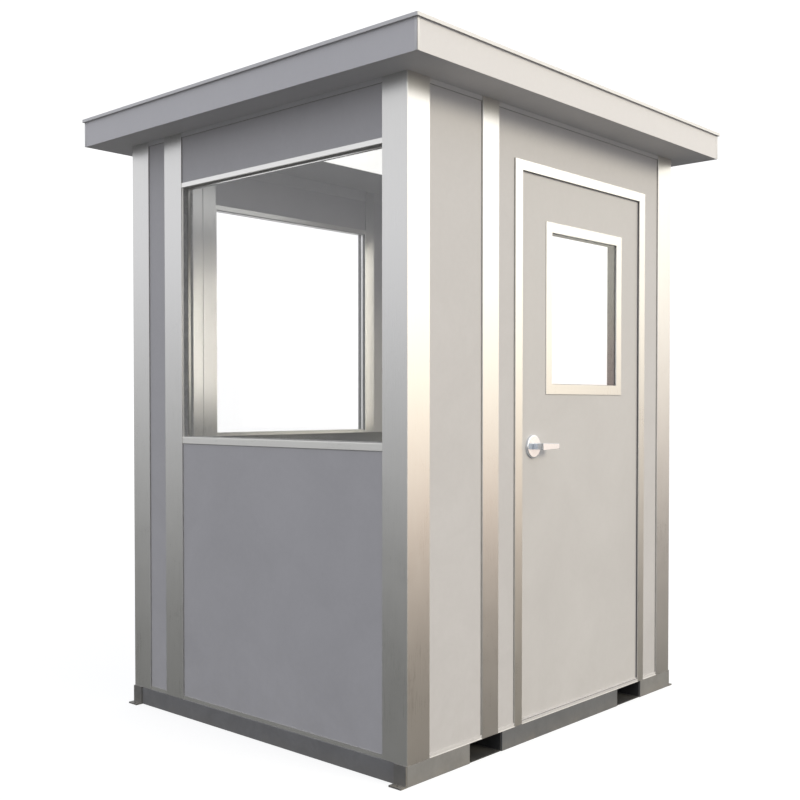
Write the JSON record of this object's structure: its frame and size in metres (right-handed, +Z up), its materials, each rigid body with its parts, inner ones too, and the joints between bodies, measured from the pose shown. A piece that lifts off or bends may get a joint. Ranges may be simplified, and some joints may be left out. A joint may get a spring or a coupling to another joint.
{
  "type": "security guard booth",
  "caption": "Small prefabricated steel guard booth with wide fixed windows, a hinged door with a window, a flat overhanging roof and a base with fork pockets.",
  "frame": {"origin": "on the ground at the middle of the booth", "axes": "+Z up, +X towards the wall with the door, -Y towards the wall with the window that is wider than its side panel"},
  "size_m": [1.938, 2.082, 2.532],
  "materials": {
    "base_steel": "satin dark grey paint",
    "floor_plate": "mill, raised pattern",
    "trim_metal": "brushed",
    "wall_skin": "matt grey paint",
    "roof_paint": "satin light grey paint",
    "roof_insulation": "rigid foam",
    "window_glass": "clear",
    "lever_chrome": "polished",
    "hinge_steel": "satin",
    "light_diffuser": "opal"
  },
  "bodies": {
    "booth": {"anchor_clips": "base_steel", "back_header_panel": "wall_skin", "back_lower_panel": "wall_skin", "back_side_panel": "wall_skin", "back_window_frame": "trim_metal", "back_window_glass": "window_glass", "base_end_rails": "base_steel", "base_side_rails": "base_steel", "bottom_channels": "trim_metal", "ceiling_light": "light_diffuser", "corner_post_back_left": "trim_metal", "corner_post_back_right": "trim_metal", "corner_post_front_left": "trim_metal", "corner_post_front_right": "trim_metal", "door_frame": "trim_metal", "door_threshold": "trim_metal", "end_battens": "trim_metal", "floor_deck": "floor_plate", "fork_pockets": "base_steel", "front_header_panel": "wall_skin", "front_lower_panel": "wall_skin", "front_side_panel": "wall_skin", "front_window_frame": "trim_metal", "front_window_glass": "window_glass", "hinge_frame_halves": "hinge_steel", "left_battens": "trim_metal", "left_header_panel": "wall_skin", "left_lower_panel": "wall_skin", "left_side_panels": "wall_skin", "left_window_frame": "trim_metal", "left_window_glass": "window_glass", "right_batten": "trim_metal", "right_header_panel": "wall_skin", "right_side_panels": "wall_skin", "roof_cap": "roof_paint", "roof_core": "roof_insulation", "roof_fascia": "roof_paint", "roof_soffit": "roof_paint", "top_channels": "trim_metal"},
    "door": {"door_leaf": "wall_skin", "door_lite_frame": "trim_metal", "door_lite_glass": "window_glass", "hinge_leaf_halves": "hinge_steel", "lever_rosettes": "lever_chrome"},
    "lever": {"lever_handle": "lever_chrome"}
  },
  "joints": [
    {"name": "door_swing", "type": "hinge", "parent": "booth", "child": "door", "pos_m": [0.74, 0.6345, 1.13], "axis": [0, 0, -1], "range_deg": [0, 95]},
    {"name": "lever_turn", "type": "hinge", "parent": "door", "child": "lever", "pos_m": [0.768, -0.166, 1.136], "axis": [-1, 0, 0], "range_deg": [0, 45], "stiffness_Nm_per_rad": 1.2, "springref_deg": -22.92}
  ]
}
